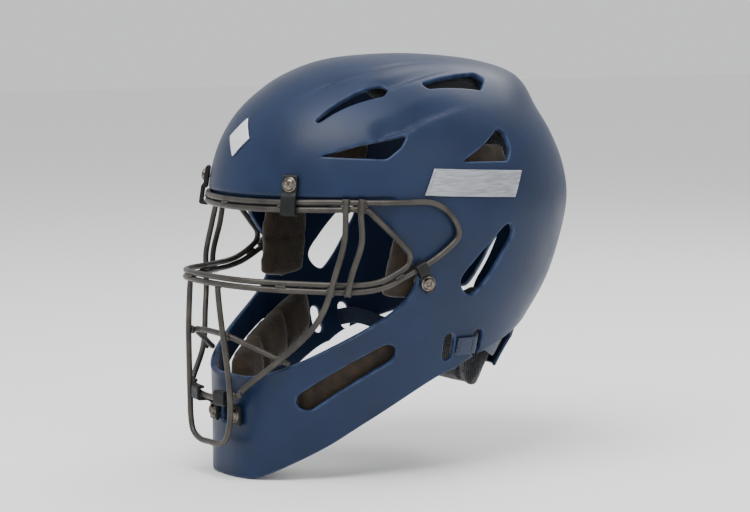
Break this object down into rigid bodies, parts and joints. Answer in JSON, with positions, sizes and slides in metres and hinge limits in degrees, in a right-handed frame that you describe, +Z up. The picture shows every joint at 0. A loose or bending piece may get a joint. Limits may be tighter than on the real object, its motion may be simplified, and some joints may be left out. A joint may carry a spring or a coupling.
{
  "type": "catcher's helmet mask",
  "caption": "Hockey-style catcher's mask: a moulded navy helmet shell with a clipped-on welded wire cage, soft inner pads and a sprung back plate on straps.",
  "frame": {"origin": "centre of the head seat inside the shell, level with the brow edge and under the crown", "axes": "+Z up out of the crown, -Y is the way the face looks, +X is the wearer's left"},
  "size_m": [0.2274, 0.2956, 0.2955],
  "materials": {
    "shell_plastic": "satin moulded navy",
    "cage_wire": "gunmetal powder coat, satin",
    "clip_plastic": "black nylon, fine grain",
    "hardware_steel": "zinc plated",
    "pad_black": "black air mesh over foam",
    "pad_brown": "dark brown brushed cloth over foam",
    "webbing": "black woven elastic",
    "badge_silver": "silver grey plate, plain"
  },
  "bodies": {
    "helmet": {"front_shell": "shell_plastic", "frame_wire_outer": "cage_wire", "frame_wire_inner": "cage_wire", "upright_wire_l": "cage_wire", "upright_wire_r": "cage_wire", "cheek_wire_l": "cage_wire", "cheek_wire_r": "cage_wire", "chin_loop_wire": "cage_wire", "mid_cross_wire": "cage_wire", "low_cross_wire": "cage_wire", "screw_brow_l": "hardware_steel", "t_nut_brow_l": "hardware_steel", "clip_brow_l": "clip_plastic", "screw_brow_r": "hardware_steel", "t_nut_brow_r": "hardware_steel", "clip_brow_r": "clip_plastic", "screw_side_l": "hardware_steel", "t_nut_side_l": "hardware_steel", "clip_side_l": "clip_plastic", "screw_side_r": "hardware_steel", "t_nut_side_r": "hardware_steel", "clip_side_r": "clip_plastic", "screw_chin_l": "hardware_steel", "t_nut_chin_l": "hardware_steel", "clip_chin_l": "clip_plastic", "screw_chin_r": "hardware_steel", "t_nut_chin_r": "hardware_steel", "clip_chin_r": "clip_plastic", "brow_pad": "pad_black", "crown_pad": "pad_black", "crown_side_pad_l": "pad_black", "crown_side_pad_r": "pad_black", "temple_pad_l": "pad_brown", "temple_pad_r": "pad_brown", "ear_pad_l": "pad_brown", "ear_pad_r": "pad_brown", "cheek_pad_l": "pad_brown", "cheek_pad_r": "pad_brown", "rear_pad_l": "pad_black", "rear_pad_r": "pad_black", "rear_pad_top": "pad_black", "chin_pad": "pad_brown", "side_strap_l": "webbing", "side_strap_r": "webbing", "top_strap": "webbing", "side_badge_l": "badge_silver", "side_badge_r": "badge_silver", "front_emblem": "badge_silver"},
    "back_plate": {"back_plate": "shell_plastic", "nape_pad": "pad_black"}
  },
  "joints": [
    {"name": "back_plate_rock", "type": "hinge", "parent": "helmet", "child": "back_plate", "pos_m": [0, 0.122, -0.01], "axis": [1, 0, 0], "range_deg": [0, 16], "stiffness_Nm_per_rad": 1.5, "springref_deg": -8.59, "deforming": ["side_strap_l", "side_strap_r", "top_strap"]}
  ]
}
